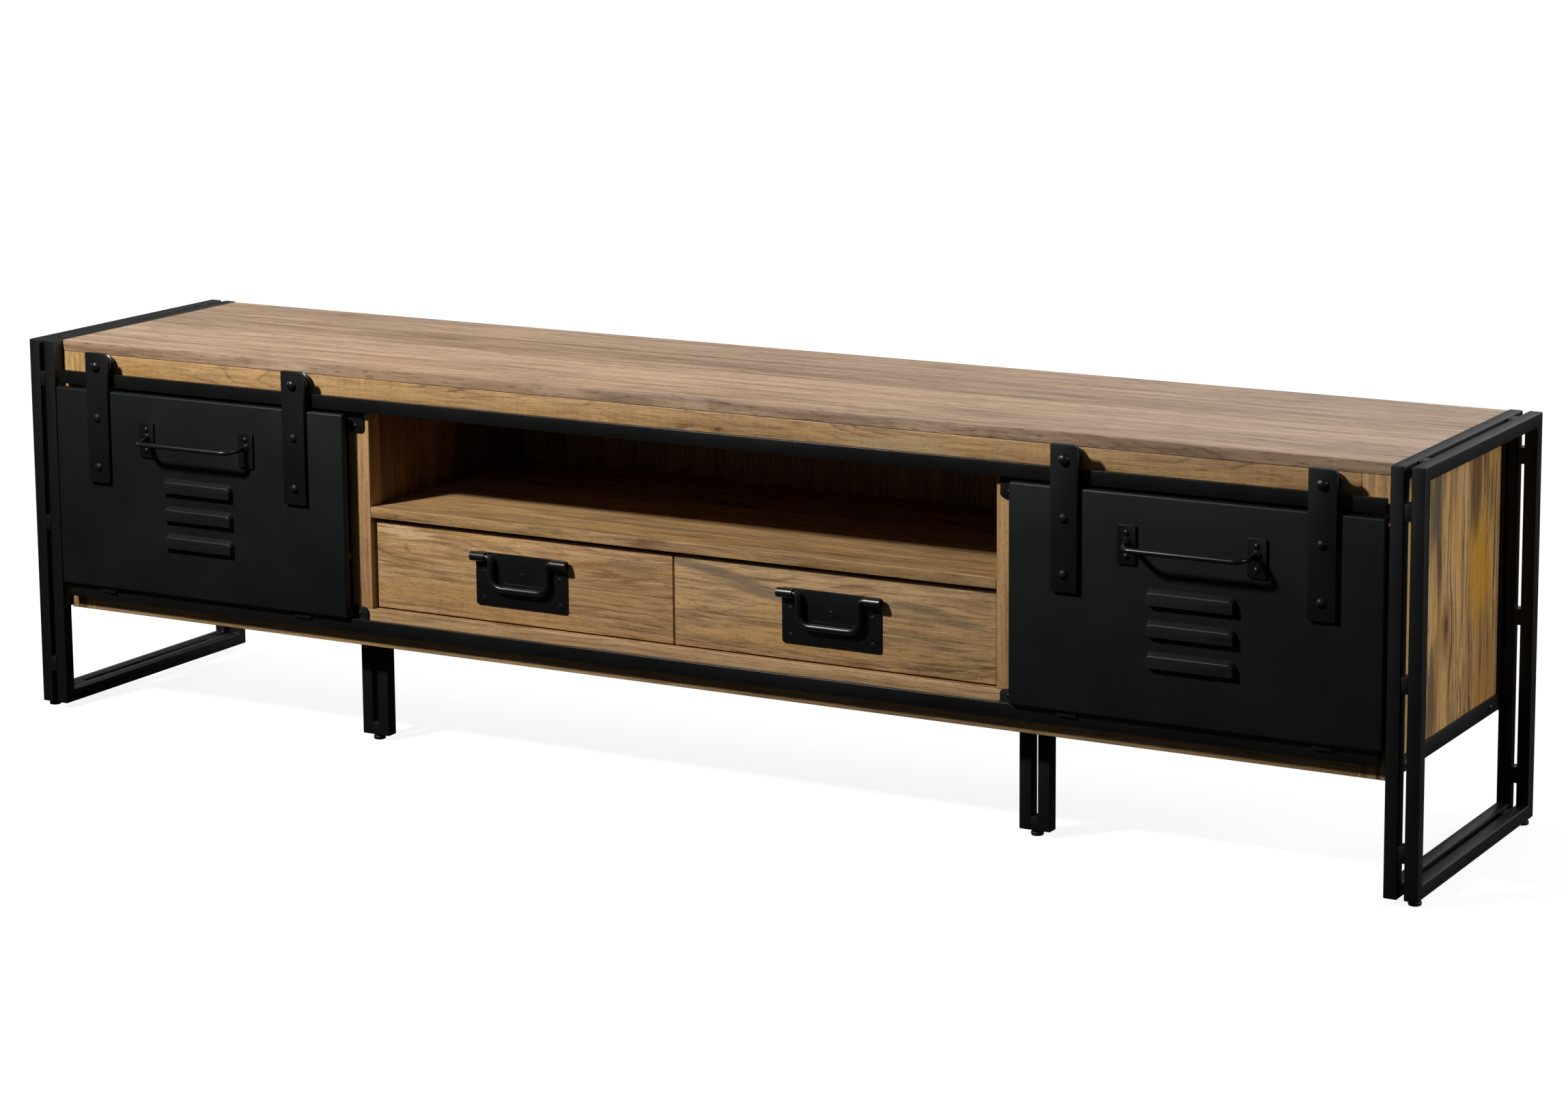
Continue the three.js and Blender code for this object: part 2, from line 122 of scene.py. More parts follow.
def start_edit(piece, kind, test):
    """Opens a piece for editing, with only the faces, edges or verts that pass a test selected."""
    bpy.ops.object.select_all(action="DESELECT")
    piece.select_set(True)
    bpy.context.view_layer.objects.active = piece
    bpy.ops.object.mode_set(mode="EDIT")
    bpy.ops.mesh.select_mode(type={"faces": "FACE", "edges": "EDGE", "verts": "VERT"}[kind])
    bpy.ops.mesh.select_all(action="DESELECT")
    shape = bmesh.from_edit_mesh(piece.data)
    for part in getattr(shape, kind):
        if test(part):
            part.select_set(True)
    shape.select_flush_mode()
    bmesh.update_edit_mesh(piece.data)


def end_edit():
    bpy.ops.mesh.select_all(action="SELECT")
    bpy.ops.mesh.normals_make_consistent(inside=False)
    bpy.ops.object.mode_set(mode="OBJECT")


def gather(name, pieces):
    """Makes several pieces one object, as a weldment is."""
    bpy.ops.object.select_all(action="DESELECT")
    for piece in pieces:
        piece.select_set(True)
    bpy.context.view_layer.objects.active = pieces[0]
    bpy.ops.object.join()
    pieces[0].name = pieces[0].data.name = name
    return pieces[0]


def fit(piece, body, slot, finish, *stands_for):
    """Gives a finished piece its coat, and fixes it to a body in place of CAD nodes."""
    piece.data.materials.clear()
    piece.data.materials.append(finish)
    bpy.ops.object.select_all(action="DESELECT")
    piece.select_set(True)
    bpy.context.view_layer.objects.active = piece
    bpy.ops.object.shade_smooth_by_angle(angle=math.radians(35))
    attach(piece, body)
    if stands_for:
        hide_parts(*stands_for)
    return piece


def bent_from_tube(name, x0, x1, low, high):
    """A hoop: both sides are inset by the tube's width, and bridged to open the window."""
    hoop = cut_block(name, (x0, low.y, low.z), (x1, high.y, high.z))
    start_edit(hoop, "faces", lambda face: abs(face.normal.x) > 0.9)
    bpy.ops.mesh.inset(thickness=TUBE, depth=0, use_individual=True)
    bpy.ops.mesh.bridge_edge_loops()
    end_edit()
    return ease_edges(hoop, TUBE_EDGE)


def dome(name, place, radius, rise, facing="front", steps=20):
    """A rivet or bolt head: a turned cap that stands out from the face it sits on."""
    cap = [(radius * math.cos(t), rise * math.sin(t)) for t in (0, 0.3, 0.6, 0.9, 1.2, math.pi / 2)]
    return turned(name, [(0, -0.0006), (radius, -0.0006), *cap[:-1], (0, rise)], place, facing, steps)


def turned(name, profile, place, facing="front", steps=32):
    """A turned piece: its outline of (radius, height) points, spun about its axis and set in place."""
    bpy.ops.object.select_all(action="DESELECT")
    bpy.ops.mesh.primitive_plane_add(size=0.001, location=(0, 0, 0))
    piece = bpy.context.object
    piece.name = piece.data.name = name
    bpy.ops.object.mode_set(mode="EDIT")
    bpy.ops.mesh.select_mode(type="VERT")
    bpy.ops.mesh.select_all(action="SELECT")
    bpy.ops.mesh.merge(type="CENTER")
    bpy.ops.transform.translate(value=(profile[0][0], 0, profile[0][1]))
    for (r0, h0), (r1, h1) in zip(profile, profile[1:]):
        bpy.ops.mesh.extrude_region_move(TRANSFORM_OT_translate={"value": (r1 - r0, 0, h1 - h0)})
    bpy.ops.mesh.select_all(action="SELECT")
    bpy.ops.mesh.spin(steps=steps, angle=2 * math.pi, center=(0, 0, 0), axis=(0, 0, 1))
    bpy.ops.mesh.select_all(action="SELECT")
    bpy.ops.mesh.remove_doubles(threshold=1e-6)
    end_edit()
    turns = {"front": (math.pi / 2, 0, 0), "up": (0, 0, 0),
             "left": (0, -math.pi / 2, 0), "right": (0, math.pi / 2, 0)}
    piece.rotation_euler = turns[facing]
    piece.location = place
    bpy.ops.object.transform_apply(location=True, rotation=True, scale=True)
    return piece


# Baked polyester powder: almost black, with a broad dull highlight that its fine peel breaks up.
powder_coat = coated_steel("satin_black_powder_coat", "#0c0c0b", 0.5, 0.9, 0.05, 0.3)
HOOP_SLOT = 0.0077
BRIDGE_HALF = 0.01
BRIDGE_HEIGHTS = (0.061, 0.259, 0.458)
BRIDGE_INSET = 0.0515
BRIDGE_LAP = 0.0005
WELD_GAP = 0.0002
FLAT_BAR = 0.003
CROSSBAR_LOW, CROSSBAR_HIGH = 0.143, 0.163
STRIP_RISE = 0.135
STRIP_WIDE = 0.01
for word, side in SIDES:
    low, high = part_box(f"{word}_outer_hoop")
    ring_low = high.x - TUBE if side > 0 else low.x
    slot_width = HOOP_SLOT + 2 * BRIDGE_LAP
    slot_low = high.x - TUBE - HOOP_SLOT if side > 0 else low.x + TUBE - 2 * BRIDGE_LAP
    parts = [bent_from_tube(f"{word}_outer_ring", ring_low, ring_low + TUBE, low, high)]
    for z in BRIDGE_HEIGHTS:
        for y in (low.y, high.y - TUBE):
            parts.append(eased_block(
                "bridge", (slot_low, y + WELD_GAP, z - BRIDGE_HALF),
                (slot_low + slot_width, y + TUBE - WELD_GAP, z + BRIDGE_HALF), 0.0005, 2))
    for y in (low.y + BRIDGE_INSET, high.y - BRIDGE_INSET):
        for z in (low.z, high.z - TUBE):
            parts.append(eased_block(
                "bridge", (slot_low, y - BRIDGE_HALF, z + WELD_GAP),
                (slot_low + slot_width, y + BRIDGE_HALF, z + TUBE - WELD_GAP), 0.0005, 2))
    fit(gather(f"{word}_outer_frame_ring", parts), "cabinet", "frame_steel", powder_coat,
        f"{word}_outer_hoop")

    low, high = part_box(f"{word}_inner_hoop")
    hoop = bent_from_tube(f"{word}_inner_ring", low.x, high.x, low, high)
    bar_low = low.x if side > 0 else high.x - FLAT_BAR
    bar_high = bar_low + FLAT_BAR
    bar = eased_block("crossbar", (bar_low, low.y + TUBE - 0.001, CROSSBAR_LOW),
                      (bar_high, high.y - TUBE + 0.001, CROSSBAR_HIGH), 0.0006, 2)
    strips = [eased_block("strip", (bar_low, y, low.z + STRIP_RISE),
                          (bar_high, y + STRIP_WIDE - 0.001, high.z - TUBE + 0.001), 0.0005, 2)
              for y in (low.y + TUBE - 0.001, high.y - TUBE - STRIP_WIDE + 0.002)]
    bolts = [dome("bolt", (bar_high if side > 0 else bar_low, y, (CROSSBAR_LOW + CROSSBAR_HIGH) / 2),
                  0.0045, 0.0026, word) for y in (low.y + 0.055, high.y - 0.055)]
    fit(gather(f"{word}_inner_frame_ring", [hoop, bar, *strips, *bolts]), "cabinet", "frame_steel",
        powder_coat, f"{word}_inner_hoop")


# --- Levelling feet -----------------------------------------------------------------------------
# Moulded black plastic discs on a short threaded neck, screwed into the ends of the tubes.
# Moulded polyamide: matt, with the slight sheen of a polished mould at the rim.


def copy_to(piece, name, step):
    """One more of a piece, with a mesh of its own, moved by a step."""
    bpy.ops.object.select_all(action="DESELECT")
    piece.select_set(True)
    bpy.context.view_layer.objects.active = piece
    bpy.ops.object.duplicate(linked=False)
    twin = bpy.context.object
    twin.name = twin.data.name = name
    twin.location = step
    bpy.ops.object.transform_apply(location=True, rotation=True, scale=True)
    return twin


# Moulded polyamide: matt black, a little brighter at grazing angles than the coated steel above it.
moulded_plastic = coated_steel("moulded_black_plastic", "#0b0b0b", 0.55, 1.5, 0.02, 0.4)
foot_outline = [(0, 0), (0.0068, 0), (0.0077, 0.0006), (0.008, 0.0016), (0.008, 0.0042),
                (0.0074, 0.005), (0.0045, 0.0052), (0.004, 0.0056), (0.004, 0.0067), (0, 0.0067)]
foot_pattern = turned("levelling_foot", foot_outline, (0, 0, 0), "up", 28)
for place in ("front", "back", "middle"):
    for word, side in SIDES:
        low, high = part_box(f"{word}_{place}_foot")
        foot = copy_to(foot_pattern, f"{word}_{place}_levelling_foot",
                       ((low.x + high.x) / 2, (low.y + high.y) / 2, low.z))
        fit(foot, "cabinet", "foot_plastic", moulded_plastic, f"{word}_{place}_foot")
bpy.data.objects.remove(foot_pattern)


# --- Middle legs --------------------------------------------------------------------------------
# Two tubes with a spacer welded between them at the bottom, under a plate screwed to the body.
# Same tube and same powder coat as the end frames.

LEG_SLOT = 0.008
low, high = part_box("left_middle_leg")
centre = (low.x + high.x) / 2
front = low.y + 0.012
plate_under = high.z - 0.003
tubes = [eased_block("tube", (x, front, low.z), (x + TUBE, front + TUBE, plate_under))
         for x in (centre - TUBE - LEG_SLOT / 2, centre + LEG_SLOT / 2)]
spacer = eased_block("spacer", (centre - LEG_SLOT / 2 - 0.001, front + 0.0002, low.z + 0.0002),
                     (centre + LEG_SLOT / 2 + 0.001, front + TUBE - 0.0002, low.z + 0.0175), 0.0005, 2)
plate = eased_block("plate", (low.x, low.y, plate_under), high, 0.0008, 2)
leg = gather("left_middle_leg_weldment", [*tubes, spacer, plate])
other_leg = copy_to(leg, "right_middle_leg_weldment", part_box("right_middle_leg")[0] - low)
for word, weldment in (("left", leg), ("right", other_leg)):
    fit(weldment, "cabinet", "frame_steel", powder_coat, f"{word}_middle_leg")


# --- Wooden body --------------------------------------------------------------------------------
# Edge-glued staves of mango wood, planed and brushed with a thin matt lacquer, which keeps the
# wood dry-looking with a soft sheen. Warm brown heartwood with darker growth lines, short open
# pores, grey mineral streaks and yellow sapwood. Edges are eased with a single pass of sandpaper.

BOARD_EDGE = 0.0009


def mango(name, axes, seed, seams=(), light="#c29a6b", dark="#7d5834", grey="#5f5342", gold="#c9983f",
          ring_mm=7.0, pith_mm=30.0, tilt=0.05, oval=None, wander_mm=14.0, bands=0.45, lines=0.45,
          grain_mm=1.7, fine=1.3, greying=0.3, gilding=0.2, ripple=0.0, marks=(), knots=()):
    """Mango wood. axes says which of X, Y and Z run along the grain, across a stave and through it.

    seams are the glue lines across the board, in mm. ring_mm is the growth-ring spacing, pith_mm how
    far the heart of the tree lies under the face, and tilt how fast it sinks along the board, which
    draws the pointed arches. oval (along, across, bow) makes the heart come up under one place.
    grain_mm is the width of a fibre: real ones are about 0.3 mm, drawn coarser so that they show.
    marks are (along, across, length, width, lean, colour, strength), and knots (along, across, radius).
    """
    finish = bpy.data.materials.new(name)
    finish.use_nodes = True
    tree = finish.node_tree
    tree.nodes.clear()
    metres = add_node(tree, "SeparateXYZ", {0: add_node(tree, "TexCoord").outputs["Object"]})
    turned_place = add_node(tree, "CombineXYZ", {i: metres.outputs[axis] for i, axis in enumerate(axes)})
    here = add_node(tree, "VectorMath", {0: turned_place, "Scale": 1000.0}, operation="SCALE")

    # Grain flows round each knot: the place is pushed away from it before the rings are drawn.
    knot_reach = []
    for knot_along, knot_across, radius in knots:
        off = add_node(tree, "Mapping", {0: here, "Location": (knot_along, knot_across, 0),
                                         "Scale": (2.5, 1, 10000)}, vector_type="TEXTURE")
        reach = add_node(tree, "VectorMath", {0: off}, operation="LENGTH").outputs["Value"]
        near = add_node(tree, "MapRange", {0: reach, 1: 0.0, 2: radius * 4, 3: 0.85, 4: 0.0},
                        interpolation_type="SMOOTHERSTEP")
        sideways = add_node(tree, "VectorMath", {0: off, 1: (0, 1, 0)}, operation="MULTIPLY")
        push = add_node(tree, "VectorMath", {0: sideways, "Scale": near}, operation="SCALE")
        here = add_node(tree, "VectorMath", {0: here, 1: push}, operation="SUBTRACT")
        knot_reach.append((reach, radius))
    along, across, _ = add_node(tree, "SeparateXYZ", {0: here}).outputs

    # Each stave comes from another plank, so it has its own shade and its own place in the tree.
    stave, joint = seed * 1.37, 1000.0
    for seam in seams:
        past = add_node(tree, "Math", {0: across, 1: seam}, operation="GREATER_THAN")
        stave = add_node(tree, "Math", {0: past, 1: stave}, operation="ADD")
        off = add_node(tree, "Math", {0: across, 1: seam}, operation="SUBTRACT")
        gap = add_node(tree, "Math", {0: off}, operation="ABSOLUTE")
        joint = add_node(tree, "Math", {0: gap, 1: joint}, operation="MINIMUM")
    chance = add_node(tree, "TexWhiteNoise", {"W": stave}, noise_dimensions="1D")
    stave_point = add_node(tree, "VectorMath", {0: chance.outputs["Color"], 1: (4000, 90, 400), 2: here},
                           operation="MULTIPLY_ADD")

    slow = add_node(tree, "Mapping", {0: stave_point, "Scale": (260, 60, 60)}, vector_type="TEXTURE")
    drift = add_node(tree, "TexNoise", {"Vector": slow, "Scale": 1.0, "Detail": 2.0})
    drift = add_node(tree, "VectorMath", {0: drift.outputs["Color"], 1: (0.5, 0.5, 0.5)},
                     operation="SUBTRACT")
    bowed = add_node(tree, "VectorMath", {0: drift, 1: (0, wander_mm, wander_mm), 2: stave_point},
                     operation="MULTIPLY_ADD")

    # What varies in the wood: where it is read, its length and width in mm, its detail and roughness.
    figure = {}
    for trait, point, long_mm, wide_mm, detail, roughness in (
            ("wiggle", bowed, 42, 9, 3.0, 0.5), ("band", bowed, 300, 15, 3.0, 0.5),
            ("fibre", bowed, 32 * grain_mm, grain_mm, 3.0, 0.7),
            ("streak", bowed, 45 * grain_mm, 2.6 * grain_mm, 3.0, 0.5),
            ("pore", bowed, 5 * grain_mm, 0.5 * grain_mm, 1.0, 0.5),
            ("cloud", bowed, 130, 12, 4.0, 0.5), ("patch", stave_point, 190, 34, 2.0, 0.5),
            ("curl", stave_point, 7, 60, 2.0, 0.5)):
        stretched = add_node(tree, "Mapping", {0: point, "Scale": (long_mm, wide_mm, wide_mm)},
                             vector_type="TEXTURE")
        figure[trait] = add_node(tree, "TexNoise", {
            "Vector": stretched, "Scale": 1.0, "Detail": detail, "Roughness": roughness})

    if oval:
        run = add_node(tree, "Math", {0: along, 1: oval[0]}, operation="SUBTRACT")
        square = add_node(tree, "Math", {0: run, 1: run}, operation="MULTIPLY")
        bow = add_node(tree, "Math", {0: square, 1: oval[2]}, operation="MULTIPLY")
        flatter = add_node(tree, "Math", {0: bow, 1: 1 / 26, 2: 1.0}, operation="MULTIPLY_ADD")
        sink = add_node(tree, "Math", {0: bow, 1: flatter}, operation="DIVIDE")
        heart_line = oval[1]
    else:
        run = add_node(tree, "Math", {0: chance, 1: 900.0, 2: along}, operation="MULTIPLY_ADD")
        fold = add_node(tree, "Math", {0: run, 1: 420.0}, operation="PINGPONG")
        sink = add_node(tree, "Math", {0: fold, 1: tilt}, operation="MULTIPLY")
        first_seam = seams[0] if seams else 0.0
        heart_line = add_node(tree, "Math", {0: chance, 1: 70.0, 2: first_seam - 35.0},
                              operation="MULTIPLY_ADD")
    section = add_node(tree, "CombineXYZ", {
        1: add_node(tree, "Math", {0: across, 1: heart_line}, operation="SUBTRACT"),
        2: add_node(tree, "Math", {0: sink, 1: pith_mm}, operation="ADD")})
    section = add_node(tree, "VectorMath", {
        0: drift, 1: (0, wander_mm * 1.6, wander_mm * 2.4), 2: section}, operation="MULTIPLY_ADD")
    heart = add_node(tree, "VectorMath", {0: section}, operation="LENGTH").outputs["Value"]
    rings = add_node(tree, "Math", {0: heart, 1: ring_mm}, operation="DIVIDE")
    age = add_node(tree, "Math", {0: figure["wiggle"], 1: 0.9, 2: rings}, operation="MULTIPLY_ADD")
    ring_line = add_node(tree, "ValToRGB", {0: add_node(tree, "Math", {0: age}, operation="FRACT")})
    ramp = ring_line.color_ramp
    ramp.interpolation = "EASE"
    ramp.elements[0].position, ramp.elements[0].color = 0.0, (0.25, 0.25, 0.25, 1)
    ramp.elements[1].position, ramp.elements[1].color = 1.0, (0.25, 0.25, 0.25, 1)
    for where, value in ((0.1, 0.0), (0.72, 0.2), (0.92, 1.0)):
        ramp.elements.new(where).color = (value, value, value, 1)
    fading = add_node(tree, "MapRange", {0: figure["patch"], 1: 0.35, 2: 0.62, 3: 1.3, 4: 0.35})
    ring_line = add_node(tree, "Math", {0: ring_line, 1: fading}, operation="MULTIPLY")

    # From light to dark wood: each trait's weight, and the value at which it changes nothing.
    shades = ((figure["band"], bands * 2.6, 0.5), (figure["fibre"], fine, 0.5),
              (figure["streak"], fine * 0.9, 0.5), (ring_line, lines, 0.25), (chance, 0.4, 0.5))
    tone = 0.4 - sum(weight * neutral for _, weight, neutral in shades)
    for trait, weight, _ in shades:
        tone = add_node(tree, "Math", {0: trait, 1: weight, 2: tone}, operation="MULTIPLY_ADD")
    if ripple:
        where = add_node(tree, "MapRange", {0: figure["patch"], 1: 0.4, 2: 0.6, 3: 0.0, 4: ripple})
        curl = add_node(tree, "Math", {0: figure["curl"], 1: 0.5}, operation="SUBTRACT")
        tone = add_node(tree, "Math", {0: curl, 1: where, 2: tone}, operation="MULTIPLY_ADD")
    wood = add_node(tree, "MixRGB", {0: tone, 1: linear(light), 2: linear(dark)})
    for amount, trait, least, colour in ((greying, "cloud", 0.52, grey), (gilding, "patch", 0.50, gold)):
        where = add_node(tree, "MapRange", {0: figure[trait], 1: least, 2: least + 0.18, 3: 0.0, 4: amount})
        wood = add_node(tree, "MixRGB", {0: where, 1: wood, 2: linear(colour)})
    ragged = add_node(tree, "Math", {0: figure["streak"], 1: 1.9, 2: -0.95}, operation="MULTIPLY_ADD")
    for mark_along, mark_across, length, width, lean, colour, strength in marks:
        off = add_node(tree, "Mapping", {
            0: here, "Location": (mark_along, mark_across, 0), "Rotation": (0, 0, lean),
            "Scale": (length / 2, width / 2, 10000)}, vector_type="TEXTURE")
        reach = add_node(tree, "VectorMath", {0: off}, operation="LENGTH").outputs["Value"]
        torn = add_node(tree, "Math", {0: reach, 1: ragged}, operation="ADD")
        where = add_node(tree, "MapRange", {0: torn, 1: 1.15, 2: 0.45, 3: 0.0, 4: strength},
                         interpolation_type="SMOOTHSTEP")
        wood = add_node(tree, "MixRGB", {0: where, 1: wood, 2: linear(colour)})
    for reach, radius in knot_reach:
        for inner, outer, amount, colour in ((0.9, 1.9, 0.55, "#7a4a26"), (0.3, 0.9, 0.8, "#3a2414")):
            where = add_node(tree, "MapRange", {0: reach, 1: radius * inner, 2: radius * outer,
                                                3: amount, 4: 0.0})
            wood = add_node(tree, "MixRGB", {0: where, 1: wood, 2: linear(colour)})
    pores = add_node(tree, "MapRange", {0: figure["pore"], 1: 0.60, 2: 0.68, 3: 0.0, 4: 1.0})
    stain = add_node(tree, "Math", {0: pores, 1: 0.42}, operation="MULTIPLY")
    wood = add_node(tree, "MixRGB", {0: stain, 1: wood, 2: linear("#4a321d")})
    if seams:
        glue = add_node(tree, "MapRange", {0: joint, 1: 0.2, 2: 0.8, 3: 0.5, 4: 0.0})
        wood = add_node(tree, "MixRGB", {0: glue, 1: wood, 2: linear("#4a321d")})

    rough = add_node(tree, "MapRange", {0: figure["fibre"], 1: 0.3, 2: 0.7, 3: 0.44, 4: 0.56})
    relief = add_node(tree, "Math", {0: figure["fibre"], 1: pores}, operation="SUBTRACT")
    bump = add_node(tree, "Bump", {"Height": relief, "Strength": 0.4, "Distance": 0.00025})
    shader = add_node(tree, "BsdfPrincipled", {
        "Base Color": wood, "Roughness": rough, "Normal": bump, "IOR": 1.5, "Specular IOR Level": 0.5})
    add_node(tree, "OutputMaterial", {"Surface": shader})
    return finish


# The top's grain is drawn 4 mm wide instead of about 0.3 mm, and the other boards' 1.7 to 3.2 mm, so
# that it shows from across a room. Each board gives the eye its own planks: a greyer top, whose paler,
# less saturated colour is partly grey streaks in the wood and partly a painted sheen of the lacquer, tan
# front edges, and side panels with dark mineral streaks, a knot and a patch of yellow sapwood.
mango_top = mango(
    "mango_top_staves_with_painted_sheen", "XYZ", 3, (-72.0, 24.0, 118.0), light="#c4a588", dark="#7d5f46", grey="#6f6257",
    greying=0.35, gilding=0.08, ring_mm=11, pith_mm=12, tilt=0.05, wander_mm=22, lines=0.28, bands=0.45,
    grain_mm=4.2)
mango_top_edge = mango(
    "mango_apron_stave", "XZY", 5, (495.0,), light="#c8a06c", dark="#7d5631", grey="#75644c",
    gilding=0.2, greying=0.3, ring_mm=6, pith_mm=14, tilt=0.06, wander_mm=16, ripple=0.7, bands=0.3,
    fine=1.4,
    marks=((-470, 478, 420, 24, 0.02, "#c9a06c", 0.35), (330, 474, 210, 24, -0.02, "#c6ac84", 0.4),
           (90, 480, 170, 20, 0.0, "#8a6a48", 0.3), (700, 470, 200, 18, 0.03, "#c9a774", 0.3)),
    knots=((42.0, 466.0, 3.4), (71.0, 474.0, 2.6), (560.0, 500.0, 2.2)))
mango_side = mango(
    "mango_side_staves", "ZYX", 11, (-64.0, 82.0), light="#c79e66", dark="#5f3f20", grey="#453c2e",
    gold="#c9912a", greying=0.5, gilding=0.35, ring_mm=9, pith_mm=14, tilt=0.08, wander_mm=24,
    grain_mm=3.2, bands=1.0, lines=0.6, fine=2.0,
    marks=((440, -28, 150, 46, 0.0, "#453c2e", 0.85), (200, -30, 150, 44, 0.02, "#4c4232", 0.75),
           (330, 125, 170, 80, 0.0, "#c08a24", 0.85), (450, 112, 150, 46, 0.0, "#4f3318", 0.8),
           (180, 150, 120, 100, 0.0, "#a96f33", 0.6), (330, -110, 330, 26, 0.0, "#c39a55", 0.7),
           (250, -140, 260, 30, 0.0, "#6d5538", 0.6)),
    knots=((285.0, 14.0, 9.0),))
mango_rail = mango("mango_rail_stave", "XZY", 8, light="#c8a273", dark="#8a6740", greying=0.3, ripple=0.25)
mango_shelf = mango(
    "mango_shelf_staves", "XYZ", 9, (-118.0, -30.0, 60.0), light="#c09a69", dark="#7a5834", greying=0.35,
    fine=1.7,
    marks=((-60, -95, 420, 14, 0.0, "#6a5a44", 0.6), (170, -140, 360, 12, 0.0, "#77654a", 0.55),
           (330, -60, 260, 12, 0.0, "#6a5a44", 0.5)))
mango_upright = mango("mango_upright_stave", "ZXY", 4, light="#c09666", dark="#82603b", greying=0.2,
                      bands=0.7)
mango_back = mango("mango_back_planks", "ZXY", 6, tuple(range(-900, 901, 92)), light="#8d6a42",
                   dark="#5b4025", greying=0.4)
# The dividers' panels are drawn far darker than the other boards: painted shade for the niche between them.
mango_painted_shade_panel = mango("mango_staves_with_painted_shade", "ZYX", 17, (-70.0, 40.0), light="#86623c", dark="#503620",
                    greying=0.3)
mango_plain = mango("plain_mango_boards", "XYZ", 2, (-50.0, 60.0), light="#b48f63", dark="#8a6a45",
                    greying=0.2)


def board(name, node, finish, body="cabinet", slot="mango_wood", edge=BOARD_EDGE):
    """A planed board on the place of one CAD node, with its edges eased."""
    return fit(eased_block(name, *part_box(node), edge, 3), body, slot, finish, node)


# The top's paler, greyer colour is partly grey streaks in the wood and partly a painted sheen.
board("top_staves", "top_board", mango_top)
board("apron_stave", "top_apron", mango_top_edge)
board("bottom_rail_stave", "bottom_front_rail", mango_rail)
board("shelf_staves", "niche_shelf", mango_shelf)
for node in ("back_panel", "bottom_board", "drawer_partition"):
    board(f"{node}_staves", node, mango_back if node == "back_panel" else mango_plain,
          slot="carcass_wood")

STILE_DEEP = 0.0256
PANEL_THICK = 0.02
for word, side in SIDES:
    for node, high_stile in (("side_panel", None), ("divider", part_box("top_apron")[0].z - 0.0003)):
        low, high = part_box(f"{word}_{node}")
        stile = eased_block("stile", low, (high.x, low.y + STILE_DEEP, high_stile or high.z), BOARD_EDGE)
        outward = (side > 0) == (node == "side_panel")
        panel_x = (high.x - PANEL_THICK, high.x) if outward else (low.x, low.x + PANEL_THICK)
        panel = eased_block("panel", (panel_x[0], low.y + STILE_DEEP - 0.0003, low.z),
                            (panel_x[1], high.y, high.z), BOARD_EDGE)
        if node == "side_panel":
            fit(gather(f"{word}_{node}_staves", [stile, panel]), "cabinet", "mango_wood", mango_side,
                f"{word}_{node}")
        else:
            stile.name = stile.data.name = f"{word}_divider_stile"
            panel.name = panel.data.name = f"{word}_divider_staves"
            fit(stile, "cabinet", "mango_wood", mango_upright)
            # Each divider's panel gets the darker mango, a painted shade for the niche wall.
            fit(panel, "cabinet", "carcass_wood", mango_painted_shade_panel, f"{word}_divider")


# --- Track, guide rail and brackets -------------------------------------------------------------
# Flat bars on edge, with a black hammered lacquer that gathers into shallow dimples. The doors'
# wheels run on the upper one. Plates on the dividers' front edges hold both bars off the wood.

# Brushed hammered lacquer: shinier than the powder coat, its dimples catching small broken glints.
hammered = coated_steel("black_hammered_lacquer", "#0d0d0c", 0.36, 2.6, 0.3, 0.4)
LUG_IN = 0.001
for node, high_lug in (("top_track", 0.466), ("bottom_guide_rail", 0.1775)):
    low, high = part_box(node)
    bar = eased_block("bar", low, (high.x, low.y + 0.006, high.z), 0.0008, 3)
    lugs = []
    for word, side in SIDES:
        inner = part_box(f"{word}_side_panel")
        edge = inner[0].x + LUG_IN if side > 0 else inner[1].x - LUG_IN - 0.024
        lugs.append(eased_block("lug", (edge, low.y + 0.005, low.z),
                                (edge + 0.024, high.y, high_lug), 0.0008))
    fit(gather(f"{node}_bar", [bar, *lugs]), "cabinet", "bar_steel", hammered, node)


def round_corners(piece, radius, test, segments=6):
    """Rounds the corners of a plate that lies upright: the edges that run front to back."""
    start_edit(piece, "edges", lambda edge: abs((edge.verts[0].co - edge.verts[1].co).normalized().y) > 0.9
               and test((edge.verts[0].co + edge.verts[1].co) / 2))
    bpy.ops.mesh.bevel(offset=radius, segments=segments, affect="EDGES")
    end_edit()
    return piece


BRACKET_PLATE = 0.003
for word, side in SIDES:
    for kind, standoff, round_high, screw_z in (("track", (0.453, 0.466), False, (0.433, 0.445)),
                                                ("guide", (0.1595, 0.1775), True, (0.184,))):
        low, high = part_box(f"{word}_{kind}_bracket")
        middle = (low.z + high.z) / 2
        plate = cut_block("plate", (low.x, high.y - BRACKET_PLATE, low.z), high)
        round_corners(plate, 0.006, lambda mid: (mid.z > middle) == round_high)
        ease_edges(plate, 0.0005, 2)
        spacer = eased_block("spacer", (low.x, low.y, standoff[0]),
                             (high.x, high.y - BRACKET_PLATE + 0.001, standoff[1]), 0.0006, 2)
        centre = (low.x + high.x) / 2
        screws = [dome("screw", (centre, high.y - BRACKET_PLATE, z), 0.0032, 0.0014) for z in screw_z]
        fit(gather(f"{word}_{kind}_bracket_plate", [plate, spacer, *screws]), "cabinet", "frame_steel",
            powder_coat, f"{word}_{kind}_bracket")


# --- Sliding doors ------------------------------------------------------------------------------
# Trays folded from 1.2 mm sheet steel, with three louvres pressed out of each and open below.
# Two small lugs hang in front of the guide rail. Smooth satin black powder coat.

